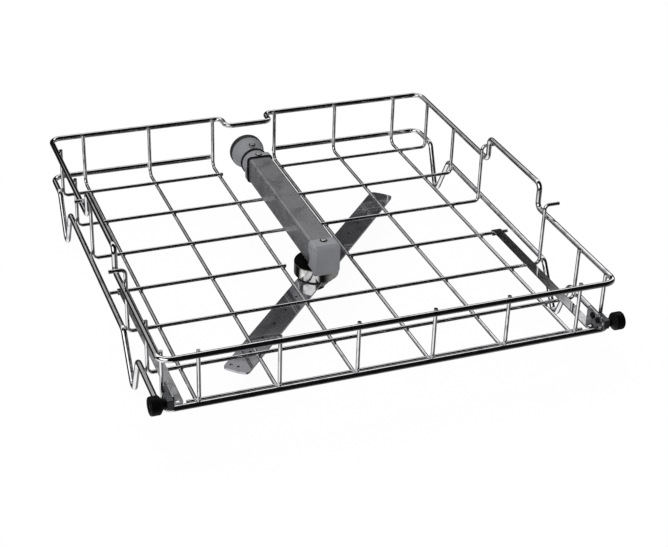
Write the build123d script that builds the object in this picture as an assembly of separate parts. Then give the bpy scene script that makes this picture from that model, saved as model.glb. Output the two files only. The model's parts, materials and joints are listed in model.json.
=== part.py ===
from build123d import *
import os

# A wire basket for a dishwasher, in mm. X is to the right, Y to the back and Z up from
# the ground. The origin is on the ground, in the middle of the basket's length and width.

# Wires and the floor grid
frame_wire = 6.0
grid_wire = 4.0
weld_bite = 0.1
seat_gap = 0.05
row_pitch = 79.4
column_count = 6
row_count = 6
half_width = 233.3
side_margin = 33.3
back_margin = 32.0
front_margin = 64.5
floor_height = 44.6
back_bend = 8.0
front_bend = 5.0
cross_bend = 5.0
inlet_overhang = 3.0
front_cross_overhang = 11.0

# Rim with its handles and hook pegs
rim_rise = 57.0
upright_overlap = 2.4
corner_bend = 12.0
handle_rise = 28.0
handle_bend = 7.0
handle_back_gap = 2.6
handle_front_gap = 24.5
jog_half_width = 28.0
jog_depth = 23.5
jog_bend = 8.0
hook_rise = 15.0
hook_reach = 16.7

# Base frame with its V legs
base_front_rise = 2.4
base_back_rise = 7.2
leg_bend = 8.0
foot_bend = 6.0
foot_flat = 9.0
back_leg_start = 6.6
back_leg_foot = 31.6
back_leg_end = 16.8
front_leg_start = 2.0
front_leg_foot = 37.0
front_leg_end = 18.4
corner_post_setback = 9.0

# Side strips and rollers
sheet = 1.5
strip_width = 10.5
strip_inset = 13.55
strip_front_gap = 1.0
strip_corner = 5.0
strip_hole = 4.5
ear_rise = 14.5
ear_length = 30.0
ear_lead = 2.6
ear_gap = 0.8
ear_corner = 3.0
block_width = 6.0
block_length = 17.0
block_height = 10.0
block_nose = 4.5
block_tail_width = 3.0
block_edge = 1.0
bolt = 4.0
bolt_head = 7.0
bolt_head_height = 1.6
bolt_length = 4.0
bolt_pitch = 10.5
bolt_inset = 8.0
axle_lead = 1.35
axle = 5.0
axle_head = 8.0
axle_head_height = 1.3
running_clearance = 0.06
end_play = 0.4
roller = 19.0
roller_neck = 9.4
roller_neck_length = 3.0
roller_width = 16.5
roller_tread = 10.0
roller_edge = 2.0
roller_recess = 10.6
roller_recess_depth = 2.6

# Feed tube, inlet funnel and end cap
tube_width = 28.0
tube_height = 30.0
tube_corner = 3.0
tube_front_reach = 29.5
tube_back_gap = 24.8
sleeve_wall = 1.6
sleeve_fit = 0.15
sleeve_depth = 14.0
inlet_depth = 7.0
cap_face = 3.0
cap_edge = 3.0
cap_lip = 3.5
notch_radius = 10.0
notch_depth = 4.5
notch_drop = 4.0
gasket = 1.2
funnel_collar = 9.7
neck_length = 3.0
neck_radius = 13.6
collar_radius = 16.2
bell_root_radius = 14.4
bell_radius = 20.2
bell_hollow = 1.2
bell_length = 26.3
spigot_radius = 18.0
spigot_length = 6.0
seal_radius = 21.0
seal_lip = 1.6
seal_lip_radius = 16.4
inlet_bore = 24.0
screw = 3.0
screw_head = 5.6
screw_head_height = 1.5
screw_length = 5.5
screw_setback = 4.2
bell_screw_place = 8.5
boss_radius = 3.6
boss_height = 4.0

# Spray arm and its bearing
hub_setback = 3.3
housing_radius = 25.0
housing_drop = 0.2
housing_depth = 15.6
housing_shoulder = 2.5
housing_boss_radius = 13.0
water_port = 11.0
spindle = 16.0
spindle_flange = 24.0
spindle_window = 6.0
arm_drop = 17.5
arm_half_length = 215.0
arm_width = 28.0
arm_thickness = 9.0
arm_sheet = 1.2
arm_flange = 2.5
arm_slope = 40.0
arm_tip_bulge = 1.5
arm_tip_corner = 5.0
arm_hub_radius = 21.0
arm_pan_radius = 17.0
arm_pan_slope = 15.0
arm_angle = 47.9
bush = 20.0
bush_flange = 25.0
bush_flange_height = 1.2
bush_depth = 1.0
washer = 1.0
nut_radius = 11.5
nut_height = 4.5
nut_flat_count = 6
nozzle = 3.2
nozzle_pitch = 30.0
nozzle_count = 6
nozzle_first = 57.0
nozzle_stagger = 14.0
tip_nozzle = 3.6
tip_nozzle_inset = 8.5
tip_nozzle_offset = 8.0

# Levels and places that follow from the driving dimensions
frame_r = frame_wire / 2
grid_r = grid_wire / 2
axle_r = axle / 2
rod_offset = frame_r + grid_r - weld_bite
floor_z = floor_height
length_z = floor_z - grid_wire + weld_bite
rim_z = floor_z + rim_rise
upright_z = rim_z + upright_overlap
base_front_z = floor_z + base_front_rise
base_back_z = floor_z + base_back_rise
hook_z = rim_z + hook_rise
handle_z = rim_z + handle_rise
depth = back_margin + (row_count - 1) * row_pitch + front_margin
back_y = (depth + axle_lead + roller / 2 - frame_r) / 2
front_y = back_y - depth
rod_x = half_width + rod_offset
rod_back = back_y + rod_offset
rod_front = front_y - rod_offset
rows = [back_y - back_margin - row_pitch * row for row in range(row_count)]
column_pitch = 2 * (half_width - side_margin) / (column_count - 1)
columns = [column_pitch * (column - (column_count - 1) / 2) for column in range(column_count)]
inner_column = columns[column_count // 2]
inlet_x = inner_column - inlet_overhang
flat_z = floor_z + grid_r + seat_gap
hub_y = rows[3] + hub_setback
tube_front = hub_y - tube_front_reach
tube_back = rows[0] - tube_back_gap
tube_z = flat_z + tube_height / 2
sleeve_grow = 2 * (sleeve_fit + sleeve_wall)
cap_front = tube_front - gasket - 2 * seat_gap - cap_face
funnel_seat = tube_back + gasket + 2 * seat_gap
neck_front = funnel_seat + funnel_collar
neck_back = neck_front + neck_length
spigot_front = neck_back + bell_length
spigot_back = spigot_front + spigot_length
sleeve_top = tube_z + tube_height / 2 + sleeve_fit + sleeve_wall
bell_screw_y = neck_back + bell_screw_place
bell_screw_z = tube_z + bell_root_radius + boss_height
collar_screw_y = tube_back - inlet_depth + screw_setback
cap_screw_y = tube_front + sleeve_depth - screw_setback


def base_level(y):
    """The base frame's height at y: it rises evenly from the front to the back."""
    share = (y - rod_front) / (rod_back - rod_front)
    return base_front_z + share * (base_back_z - base_front_z)


def bent_wire(points, bends, diameter):
    """A round wire along a route, with one bend radius for each inner point."""
    route = FilletPolyline(*points, radius=bends)
    return sweep(Plane(route @ 0, z_dir=route % 0) * Circle(diameter / 2), path=route)


def straight_wire(start, end, diameter):
    """A round wire between two points."""
    route = Line(start, end)
    return sweep(Plane(start, z_dir=route % 0) * Circle(diameter / 2), path=route)


def other_side(solid):
    """The same piece for the left side."""
    return mirror(solid, about=Plane.YZ)


def along_x(radius, x_from, x_to, y, z):
    """A round bar along X."""
    start = Plane((x_from, y, z), x_dir=(0, 1, 0), z_dir=(1, 0, 0))
    return extrude(start * Circle(radius), x_to - x_from)


def upright_bar(radius, y, z_from, z_to):
    """A round bar along Z in the middle plane of the basket."""
    return extrude(Plane((0, y, z_from)) * Circle(radius), z_to - z_from)


# Rim and base frame, each made as a right half and its mirror image

def rim():
    """The closed rim wire with a raised handle on each side and a jog over the inlet."""
    handle_front = rows[4] + handle_front_gap
    handle_back = rows[2] - grid_r - frame_r - handle_back_gap
    jog_y = rod_back - jog_depth
    half = bent_wire(
        [
            (0, rod_front, rim_z),
            (rod_x, rod_front, rim_z),
            (rod_x, handle_front, rim_z),
            (rod_x, handle_front, handle_z),
            (rod_x, handle_back, handle_z),
            (rod_x, handle_back, rim_z),
            (rod_x, rod_back, rim_z),
            (jog_half_width, rod_back, rim_z),
            (jog_half_width, jog_y, rim_z),
            (0, jog_y, rim_z),
        ],
        [corner_bend] + 4 * [handle_bend] + [corner_bend, jog_bend, jog_bend],
        frame_wire,
    )
    return half + other_side(half)


def leg(start, foot, end):
    """Route points of one V leg, which stands on the ground."""
    return [
        (rod_x, start, base_level(start)),
        (rod_x, foot + foot_flat / 2, frame_r),
        (rod_x, foot - foot_flat / 2, frame_r),
        (rod_x, end, base_level(end)),
    ]


def base():
    """The base frame wire, open at the inlet, with two V legs on each side."""
    back_leg = leg(rows[0] - back_leg_start, rows[0] - back_leg_foot, rows[1] + back_leg_end)
    front_leg = leg(rows[4] - front_leg_start, rows[4] - front_leg_foot, rows[5] + front_leg_end)
    ends = [(rod_x, rod_front, base_front_z), (0, rod_front, base_front_z)]
    start = [(inner_column, rod_back, base_back_z), (rod_x, rod_back, base_back_z)]
    leg_bends = [leg_bend, foot_bend, foot_bend, leg_bend]
    half = bent_wire(
        start + back_leg + front_leg + ends,
        [corner_bend] + 2 * leg_bends + [corner_bend],
        frame_wire,
    )
    return half + other_side(half)


# Floor wires

def length_wire(x):
    """A floor wire from front to back with both uprights."""
    return bent_wire(
        [
            (x, back_y, upright_z),
            (x, back_y, length_z),
            (x, front_y, length_z),
            (x, front_y, upright_z),
        ],
        [back_bend, front_bend],
        grid_wire,
    )


def side_end(y, hooked):
    """Route points of a cross wire's right end, from its upper tip to the floor corner."""
    if hooked:
        tip = [(half_width + hook_reach, y, hook_z), (half_width, y, hook_z)]
    else:
        tip = [(half_width, y, upright_z)]
    return tip + [(half_width, y, floor_z)]


def cross_wire(y, hooked):
    """A floor wire across the basket with both uprights."""
    right = side_end(y, hooked)
    left = [(-x, row, z) for x, row, z in reversed(right)]
    points = right + left
    return bent_wire(points, (len(points) - 2) * [cross_bend], grid_wire)


def half_cross_wire(y):
    """The right piece of a cross wire that stops beside the inlet."""
    points = side_end(y, False) + [(inlet_x, y, floor_z)]
    return bent_wire(points, [cross_bend], grid_wire)


def short_cross_wire(y):
    """The right piece of the straight cross wire that stops beside the bearing."""
    return straight_wire((inlet_x, y, floor_z), (half_width, y, floor_z), grid_wire)


def front_cross_wire():
    """The straight cross wire that lies in the front bends of the length wires."""
    y = front_y + front_bend
    reach = columns[-1] + front_cross_overhang
    return straight_wire((-reach, y, floor_z), (reach, y, floor_z), grid_wire)


def corner_post():
    """The short right post between base frame and rim beside the roller."""
    y = front_y + corner_post_setback
    foot = (half_width, y, base_level(y) - grid_r)
    return straight_wire(foot, (half_width, y, upright_z), grid_wire)


# Side strips, axle blocks and rollers on the right side

strip_x = half_width - strip_inset
ear_x = strip_x + strip_width / 2 + ear_gap
block_x = ear_x + sheet + seat_gap
block_z = base_front_z + frame_r + seat_gap
axle_y = rod_front - axle_lead
axle_z = block_z + block_height / 2
ear_front = rod_front - ear_lead
ear_back = ear_front + ear_length
bolt_rows = [ear_front + bolt_inset + bolt_pitch * row for row in range(2)]
roller_x = block_x + block_width + end_play
roller_face = roller_x + roller_width
recess_x = roller_face - roller_recess_depth


def side_strip():
    """A flat bar on the floor wires: rolled round cross wire 4, with an ear for the axle block."""
    strip_front = rod_front + frame_r + strip_front_gap
    eye_y = rows[3]
    middle = Plane((strip_x, (strip_front + eye_y) / 2, flat_z))
    bar = extrude(middle * Rectangle(strip_width, eye_y - strip_front), sheet)
    inner_corner = bar.edges().filter_by(Axis.Z).sort_by(Axis.Y)[:2].sort_by(Axis.X)[0]
    bar = fillet(inner_corner, strip_corner)
    eye_plane = Plane((strip_x - strip_width / 2, eye_y, floor_z), x_dir=(0, 1, 0), z_dir=(1, 0, 0))
    eye_bore = grid_r + seat_gap
    ring = Circle(eye_bore + sheet) - Circle(eye_bore)
    open_side = Pos(-eye_bore - sheet, 0) * Rectangle(2 * (eye_bore + sheet), 2 * eye_bore)
    eye = extrude(eye_plane * (ring - open_side), strip_width)
    ear_top = flat_z + ear_rise
    outline = Polyline(
        (strip_front, flat_z),
        (ear_back, flat_z),
        (ear_back, ear_top),
        (ear_front, ear_top),
        (ear_front, block_z),
        (strip_front, block_z),
        close=True,
    )
    plate = make_face(outline)
    plate = fillet(plate.vertices().group_by(Axis.Y)[-1], ear_corner)
    ear = extrude(Plane((ear_x, 0, 0), x_dir=(0, 1, 0), z_dir=(1, 0, 0)) * plate, sheet)
    fold_width = ear_gap + sheet
    fold_length = ear_back - ear_corner - strip_front
    fold = Plane((strip_x + (strip_width + fold_width) / 2, strip_front + fold_length / 2, flat_z))
    strip = bar + eye + ear + extrude(fold * Rectangle(fold_width, fold_length), sheet)
    for bolt_y in bolt_rows:
        strip -= along_x(bolt / 2 + seat_gap, ear_x, ear_x + sheet, bolt_y, axle_z)
    hole = Plane((strip_x, strip_front + strip_width / 2, flat_z))
    return strip - extrude(hole * Circle(strip_hole / 2), sheet)


def axle_block():
    """The block on the base frame's corner: a nose for the axle and a thin tail along the ear."""
    nose_y = axle_y - block_nose
    middle_z = block_z + block_height / 2
    nose = Plane((block_x + block_width / 2, nose_y + block_length / 2, middle_z))
    block = nose * Box(block_width, block_length, block_height)
    block = fillet(block.edges().filter_by(Axis.X), block_edge)
    tail_front = nose_y + block_length - block_edge
    tail = Plane((block_x + block_tail_width / 2, (tail_front + ear_back) / 2, middle_z))
    block += tail * Box(block_tail_width, ear_back - tail_front, block_height)
    for bolt_y in bolt_rows:
        block -= along_x(bolt / 2 + seat_gap, block_x, block_x + bolt_length, bolt_y, axle_z)
    return block - along_x(axle_r + seat_gap, block_x, block_x + block_width, axle_y, axle_z)


def block_bolts():
    """The two bolts through the ear into the block."""
    head_x = ear_x - seat_gap
    bolts = []
    for bolt_y in bolt_rows:
        head = along_x(bolt_head / 2, head_x - bolt_head_height, head_x, bolt_y, axle_z)
        head = fillet(head.edges().group_by(Axis.X)[0], bolt_head_height / 2)
        bolts.append(head + along_x(bolt / 2, head_x, head_x + bolt_length, bolt_y, axle_z))
    return bolts[0] + bolts[1]


def roller_axle():
    """The axle pin in the block, with a riveted head in the roller's recess."""
    outer_x = recess_x + end_play
    pin = along_x(axle_r, block_x, outer_x, axle_y, axle_z)
    return pin + along_x(axle_head / 2, outer_x, outer_x + axle_head_height, axle_y, axle_z)


def roller_wheel():
    """The roller with its neck, turned about its axle."""
    bore = axle_r + running_clearance
    tread_x = roller_face - roller_tread
    profile = Polyline(
        (roller_x, bore),
        (roller_x, roller_neck / 2),
        (roller_x + roller_neck_length, roller_neck / 2),
        (tread_x, roller / 2),
        (roller_face, roller / 2),
        (roller_face, roller_recess / 2),
        (recess_x, roller_recess / 2),
        (recess_x, bore),
        close=True,
    )
    section = make_face(profile)
    rounded = section.vertices().group_by(Axis.Y)[-1]
    section = fillet(rounded, roller_edge)
    turned = Plane((0, axle_y, axle_z), x_dir=(1, 0, 0), z_dir=(0, -1, 0)) * section
    return revolve(turned, Axis((0, axle_y, axle_z), (1, 0, 0)))


# Feed tube, inlet funnel and end cap, in stations along the tube's axis

def station(y):
    """The plane across the tube at y, facing the back."""
    return Plane((0, y, tube_z), x_dir=(1, 0, 0), z_dir=(0, 1, 0))


def tube_section(grow):
    """The tube's outer section, grown all round for what fits over or in it."""
    corner = tube_corner + grow / 2
    return RectangleRounded(tube_width + grow, tube_height + grow, corner)


def box_length(grow, y_from, y_to):
    """A bar with the tube's grown section."""
    return extrude(station(y_from) * tube_section(grow), y_to - y_from)


def turned_about_tube(profile):
    """A face drawn as (y, radius), turned about the tube's axis."""
    side = Plane((0, 0, tube_z), x_dir=(0, 1, 0), z_dir=(1, 0, 0))
    return revolve(side * profile, Axis((0, 0, tube_z), (0, 1, 0)))


def screw_hole(y, z_from, z_to):
    """A hole for a screw from above."""
    return upright_bar(screw / 2 + seat_gap, y, z_from, z_to)


def side_notch(y):
    """A round bite through both side walls of a sleeve, centred on its edge."""
    reach = tube_width
    return along_x(notch_radius, -reach, reach, y, tube_z - notch_drop)


def feed_tube():
    """The drawn tube on the cross wires, with its water outlet and screw holes."""
    tube = box_length(0, tube_front, tube_back) - box_length(-2 * sheet, tube_front, tube_back)
    tube -= upright_bar(water_port / 2, hub_y, flat_z, tube_z)
    for screw_y in (collar_screw_y, cap_screw_y):
        tube -= screw_hole(screw_y, tube_z, sleeve_top)
    return tube


def inlet_funnel():
    """The moulded inlet: a short sleeve over the tube, a round collar, a groove and a bell mouth."""
    sleeve_front = tube_back - inlet_depth
    body = box_length(sleeve_grow, sleeve_front, funnel_seat)
    bell_arc = SagittaArc((neck_back, bell_root_radius), (spigot_front, bell_radius), -bell_hollow)
    outline = Polyline(
        (spigot_front, bell_radius),
        (spigot_front, spigot_radius),
        (spigot_back, spigot_radius),
        (spigot_back, 0),
        (funnel_seat, 0),
        (funnel_seat, collar_radius),
        (neck_front, collar_radius),
        (neck_front, neck_radius),
        (neck_back, neck_radius),
        (neck_back, bell_root_radius),
    )
    body += turned_about_tube(make_face([bell_arc, outline]))
    body += upright_bar(boss_radius, bell_screw_y, tube_z, bell_screw_z)
    bore = Polyline(
        (funnel_seat, 0),
        (funnel_seat, inlet_bore / 2),
        (neck_back, inlet_bore / 2),
        (spigot_back, seal_lip_radius),
        (spigot_back, 0),
        close=True,
    )
    body -= turned_about_tube(make_face(bore))
    body -= box_length(2 * sleeve_fit, sleeve_front, funnel_seat)
    body -= side_notch(sleeve_front - notch_radius + notch_depth)
    body -= screw_hole(collar_screw_y, tube_z, sleeve_top)
    return body - screw_hole(bell_screw_y, tube_z, bell_screw_z)


def inlet_seal():
    """The rubber ring on the bell's spigot, with a lip over the mouth."""
    fit = spigot_radius + seat_gap
    lip_front = spigot_back + seat_gap
    profile = Polyline(
        (spigot_front + seat_gap, fit),
        (spigot_front + seat_gap, seal_radius),
        (lip_front + seal_lip, seal_radius),
        (lip_front + seal_lip, seal_lip_radius),
        (lip_front, seal_lip_radius),
        (lip_front, fit),
        close=True,
    )
    section = make_face(profile)
    section = fillet(section.vertices().group_by(Axis.Y)[-1], seal_lip / 2)
    return turned_about_tube(section)


def end_cap():
    """The moulded cap over the tube's front end, with a lip below its face."""
    sleeve_back = tube_front + sleeve_depth
    cap = box_length(sleeve_grow, cap_front, sleeve_back)
    cap += Pos(0, 0, -cap_lip) * box_length(sleeve_grow, cap_front, tube_front)
    cap = chamfer(cap.edges().group_by(Axis.Y)[0], cap_edge)
    cap -= box_length(2 * sleeve_fit, cap_front + cap_face, sleeve_back)
    cap -= side_notch(sleeve_back + notch_radius - notch_depth)
    return cap - screw_hole(cap_screw_y, tube_z, sleeve_top)


def tube_gasket(y):
    """A flat rubber ring on the tube's end."""
    return box_length(0, y, y + gasket) - box_length(-2 * sheet, y, y + gasket)


def pan_screw(y, z):
    """A short pan-head screw from above, with its head resting at z."""
    rest = z + seat_gap
    head = upright_bar(screw_head / 2, y, rest, rest + screw_head_height)
    head = fillet(head.edges().group_by(Axis.Z)[-1], screw_head_height / 2)
    return head + upright_bar(screw / 2, y, rest - screw_length, rest)


# Bearing and spray arm, turned about the upright axis below the tube

housing_top = floor_z - housing_drop
housing_low = housing_top - housing_depth
arm_z = floor_z - arm_drop
arm_low = arm_z - arm_thickness
arm_middle = arm_z - arm_thickness / 2
washer_z = arm_low - seat_gap - bush_flange_height - end_play
nut_z = washer_z - washer - seat_gap
spindle_r = spindle / 2
bush_fit = spindle_r + running_clearance


def turned_about_hub(points):
    """An outline drawn as (radius, z), turned about the bearing's axis."""
    side = Plane((0, hub_y, 0), x_dir=(1, 0, 0), z_dir=(0, -1, 0))
    section = make_face(Polyline(points, close=True))
    return revolve(side * section, Axis((0, hub_y, 0), (0, 0, 1)))


def bearing_housing():
    """The polished drum below the tube, with a welding boss on top."""
    port = water_port / 2
    fit = spindle_r + seat_gap
    drum = turned_about_hub(
        [
            (port, flat_z - seat_gap),
            (housing_boss_radius, flat_z - seat_gap),
            (housing_boss_radius, housing_top),
            (housing_radius, housing_top),
            (housing_radius, housing_low),
            (fit, housing_low),
            (fit, housing_low + sheet),
            (housing_radius - sheet, housing_low + sheet),
            (housing_radius - sheet, housing_top - sheet),
            (port, housing_top - sheet),
        ]
    )
    circles = drum.edges().filter_by(GeomType.CIRCLE)
    shoulder = circles.group_by(SortBy.RADIUS)[-1].sort_by(Axis.Z)[-1]
    return fillet(shoulder, housing_shoulder)


def bearing_spindle():
    """The hollow stud that feeds the arm, with a flange in the drum and water windows."""
    top = housing_top - sheet - seat_gap
    port = water_port / 2
    stud = turned_about_hub(
        [
            (port, top),
            (spindle_flange / 2, top),
            (spindle_flange / 2, top - sheet),
            (spindle_r, top - sheet),
            (spindle_r, nut_z - nut_height - sheet),
            (0, nut_z - nut_height - sheet),
            (0, washer_z),
            (port, washer_z),
        ]
    )
    window = spindle_window / 2
    stud -= along_x(window, -spindle, spindle, hub_y, arm_middle)
    across = Plane((0, hub_y - spindle, arm_middle), x_dir=(1, 0, 0), z_dir=(0, 1, 0))
    return stud - extrude(across * Circle(window), 2 * spindle)


def arm_bush(wall_z, outward):
    """A flanged plastic bush in one wall of the arm, turned up or down."""
    flange_z = wall_z + outward * seat_gap
    end_z = flange_z + outward * bush_flange_height
    inner_z = wall_z - outward * (arm_sheet + bush_depth)
    return turned_about_hub(
        [
            (bush_fit, inner_z),
            (bush / 2, inner_z),
            (bush / 2, flange_z),
            (bush_flange / 2, flange_z),
            (bush_flange / 2, end_z),
            (bush_fit, end_z),
        ]
    )


def thrust_washer():
    """The washer below the arm."""
    fit = spindle_r + seat_gap
    ring = Circle(bush_flange / 2) - Circle(fit)
    return extrude(Plane((0, hub_y, washer_z - washer)) * ring, washer)


def retaining_nut():
    """The hexagonal nut on the spindle's lower end."""
    blank = RegularPolygon(nut_radius, nut_flat_count) - Circle(spindle_r + seat_gap)
    nut = extrude(Plane((0, hub_y, nut_z - nut_height)) * blank, nut_height)
    corner_cut = turned_about_hub(
        [
            (0, nut_z),
            (nut_radius, nut_z),
            (nut_radius, nut_z - nut_height + sheet),
            (nut_radius - sheet, nut_z - nut_height),
            (0, nut_z - nut_height),
        ]
    )
    return nut & corner_cut


def arm_plan(inset):
    """The arm's outline seen from above, along X about its middle, drawn in by the inset."""
    reach = arm_half_length - inset
    half_wide = arm_width / 2 - inset
    shoulder_x = reach - arm_tip_bulge
    plan = make_face(
        [
            Line((-shoulder_x, half_wide), (shoulder_x, half_wide)),
            ThreePointArc((shoulder_x, half_wide), (reach, 0), (shoulder_x, -half_wide)),
            Line((shoulder_x, -half_wide), (-shoulder_x, -half_wide)),
            ThreePointArc((-shoulder_x, -half_wide), (-reach, 0), (-shoulder_x, half_wide)),
        ]
    )
    return fillet(plan.vertices(), arm_tip_corner - inset)


def arm_pressing(inset):
    """The solid form of the arm's trough and hub pan, drawn in by the inset."""
    drop = arm_thickness - arm_sheet - seat_gap - inset
    ridge = extrude(arm_plan(arm_flange + inset), -drop, taper=arm_slope)
    return ridge + extrude(Circle(arm_pan_radius - inset), -drop, taper=arm_pan_slope)


def arm_place(solid):
    """An arm piece, drawn about the arm's upper face, moved to the bearing."""
    return Pos(0, hub_y, arm_z) * Rot(0, 0, arm_angle) * solid


def arm_plate():
    """The arm's flat upper sheet with staggered nozzles and a drive nozzle at each tip."""
    plate = extrude(arm_plan(0) + Circle(arm_hub_radius), -arm_sheet)
    holes = [(0, 0, bush + 2 * seat_gap)]
    for number in range(nozzle_count):
        place = nozzle_first + number * nozzle_pitch
        holes.append((-place, 0, nozzle))
        if number < nozzle_count - 1:
            holes.append((place + nozzle_stagger, 0, nozzle))
    for side in (-1, 1):
        holes.append((side * (arm_half_length - tip_nozzle_inset), -side * tip_nozzle_offset, tip_nozzle))
    for along, across, diameter in holes:
        plate -= Pos(along, across, 0) * Cylinder(diameter / 2, 2 * arm_sheet)
    return arm_place(plate)


def arm_trough():
    """The arm's pressed lower sheet: a flange, a sloped trough and a round pan at the hub."""
    flange_z = -arm_sheet - seat_gap
    flange = Pos(0, 0, flange_z) * extrude(arm_plan(0) + Circle(arm_hub_radius), -arm_sheet)
    trough = flange + Pos(0, 0, flange_z) * arm_pressing(0)
    trough -= Pos(0, 0, flange_z) * arm_pressing(arm_sheet)
    return arm_place(trough - Cylinder(bush / 2 + seat_gap, 3 * arm_thickness))


os.makedirs("parts", exist_ok=True)

nodes = {
    "rim_wire": rim(),
    "base_frame": base(),
    "cross_wire_2": cross_wire(rows[1], False),
    "cross_wire_3": cross_wire(rows[2], True),
    "cross_wire_5": cross_wire(rows[4], True),
    "cross_wire_6": cross_wire(rows[5], False),
    "cross_wire_7": front_cross_wire(),
    "feed_tube": feed_tube(),
    "inlet_funnel": inlet_funnel(),
    "inlet_seal": inlet_seal(),
    "inlet_gasket": tube_gasket(tube_back + seat_gap),
    "end_cap": end_cap(),
    "cap_gasket": tube_gasket(tube_front - seat_gap - gasket),
    "tube_screws": pan_screw(collar_screw_y, sleeve_top)
    + pan_screw(cap_screw_y, sleeve_top)
    + pan_screw(bell_screw_y, bell_screw_z),
    "bearing_housing": bearing_housing(),
    "bearing_spindle": bearing_spindle(),
    "upper_arm_bush": arm_bush(arm_z, 1),
    "lower_arm_bush": arm_bush(arm_low, -1),
    "thrust_washer": thrust_washer(),
    "retaining_nut": retaining_nut(),
    "arm_plate": arm_plate(),
    "arm_trough": arm_trough(),
}
for number, x in enumerate(columns, start=1):
    nodes[f"length_wire_{number}"] = length_wire(x)
paired = {
    "cross_wire_1": half_cross_wire(rows[0]),
    "cross_wire_4": short_cross_wire(rows[3]),
    "corner_post": corner_post(),
    "side_strip": side_strip(),
    "axle_block": axle_block(),
    "block_bolts": block_bolts(),
    "roller_axle": roller_axle(),
    "roller": roller_wheel(),
}
for name, solid in paired.items():
    nodes[f"{name}_right"] = solid
    nodes[f"{name}_left"] = other_side(solid)
for name, solid in nodes.items():
    export_step(solid, f"parts/{name}.step")
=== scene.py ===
"""Looks of a wire dishwasher basket: polished wires, feed tube, spray arm and rollers."""

import json
import logging
import math
from dataclasses import dataclass, field
from enum import Enum
from typing import Callable, Iterable

import bpy
from mathutils import Matrix, Vector

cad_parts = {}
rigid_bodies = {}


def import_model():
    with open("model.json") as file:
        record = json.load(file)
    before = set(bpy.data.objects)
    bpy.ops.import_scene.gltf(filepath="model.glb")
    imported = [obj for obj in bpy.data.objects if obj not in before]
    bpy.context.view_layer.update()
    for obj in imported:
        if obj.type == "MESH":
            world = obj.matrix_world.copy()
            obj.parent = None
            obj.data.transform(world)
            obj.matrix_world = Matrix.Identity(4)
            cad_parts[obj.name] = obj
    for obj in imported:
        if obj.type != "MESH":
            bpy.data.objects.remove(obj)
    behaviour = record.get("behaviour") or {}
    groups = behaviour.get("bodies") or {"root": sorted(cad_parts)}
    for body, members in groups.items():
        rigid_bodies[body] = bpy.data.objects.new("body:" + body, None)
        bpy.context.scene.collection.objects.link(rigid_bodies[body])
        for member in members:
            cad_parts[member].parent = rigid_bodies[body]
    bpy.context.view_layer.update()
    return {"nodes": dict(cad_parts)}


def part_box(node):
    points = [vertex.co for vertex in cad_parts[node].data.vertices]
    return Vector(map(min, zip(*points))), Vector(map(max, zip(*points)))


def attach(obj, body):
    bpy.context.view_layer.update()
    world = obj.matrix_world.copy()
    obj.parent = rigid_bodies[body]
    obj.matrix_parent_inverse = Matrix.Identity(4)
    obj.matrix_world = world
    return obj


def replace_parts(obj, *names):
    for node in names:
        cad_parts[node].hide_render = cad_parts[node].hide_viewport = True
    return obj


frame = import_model()
MM = 0.001
SIDES = ("left", "right")
QUARTER_TURN = math.pi / 2
# From this much of its normal on, a face counts as facing a way.
FACING = 0.9
# Inputs and outputs of a Mix node, which has its own for numbers and for colours.
MIX_SHARE, MIX_FROM, MIX_TO, MIX_FROM_COLOUR, MIX_TO_COLOUR = 0, 2, 3, 6, 7
MIXED, MIXED_COLOUR = 0, 2
LOG = logging.getLogger("basket")

Span = tuple[float, float]
Triple = tuple[float, float, float]


class Axis(Enum):
    """A direction that a piece is made along or that a pattern is drawn out along."""

    X = 0
    Y = 1
    Z = 2


class Recess(Enum):
    """What a driver turns a screw head by."""

    CROSS = "cross"
    SLOT = "slot"


def linear(code: str) -> tuple[float, float, float, float]:
    """Turn an sRGB hex colour into a linear one, by the standard's own curve.

    Args:
        code: the colour as #rrggbb.

    Returns:
        Red, green and blue in linear light, and an alpha of 1.
    """
    parts = [int(code[place:place + 2], 16) / 255 for place in (1, 3, 5)]
    light = [p / 12.92 if p <= 0.04045 else ((p + 0.055) / 1.055) ** 2.4 for p in parts]
    return (*light, 1.0)


def per_mm(size: float) -> float:
    """The texture scale at which one feature is about this many millimetres wide."""
    return 1.0 / (size * MM)


def add(
    tree: bpy.types.NodeTree, kind: str, inputs: dict | None = None, **settings: object,
) -> bpy.types.Node:
    """Add a node with its settings and links.

    Args:
        tree: the node tree.
        kind: the node's type name.
        inputs: a value or a socket to link, for each input by name or place.
        settings: the node's own properties.

    Returns:
        The new node.
    """
    node = tree.nodes.new(kind)
    for name, value in settings.items():
        setattr(node, name, value)
    for name, value in (inputs or {}).items():
        if isinstance(value, bpy.types.NodeSocket):
            tree.links.new(value, node.inputs[name])
        else:
            node.inputs[name].default_value = value
    return node


def feed(
    shader: bpy.types.Node, colour: bpy.types.Node, rough: bpy.types.Node, bump: bpy.types.Node,
) -> None:
    """Link a finish's patterns to its shader.

    Args:
        shader: the Principled BSDF.
        colour: the node that mixes the colour.
        rough: the node that ranges the roughness.
        bump: the node that gives the normal.
    """
    links = shader.id_data.links
    links.new(colour.outputs[MIXED_COLOUR], shader.inputs["Base Color"])
    links.new(rough.outputs["Result"], shader.inputs["Roughness"])
    links.new(bump.outputs["Normal"], shader.inputs["Normal"])


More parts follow.
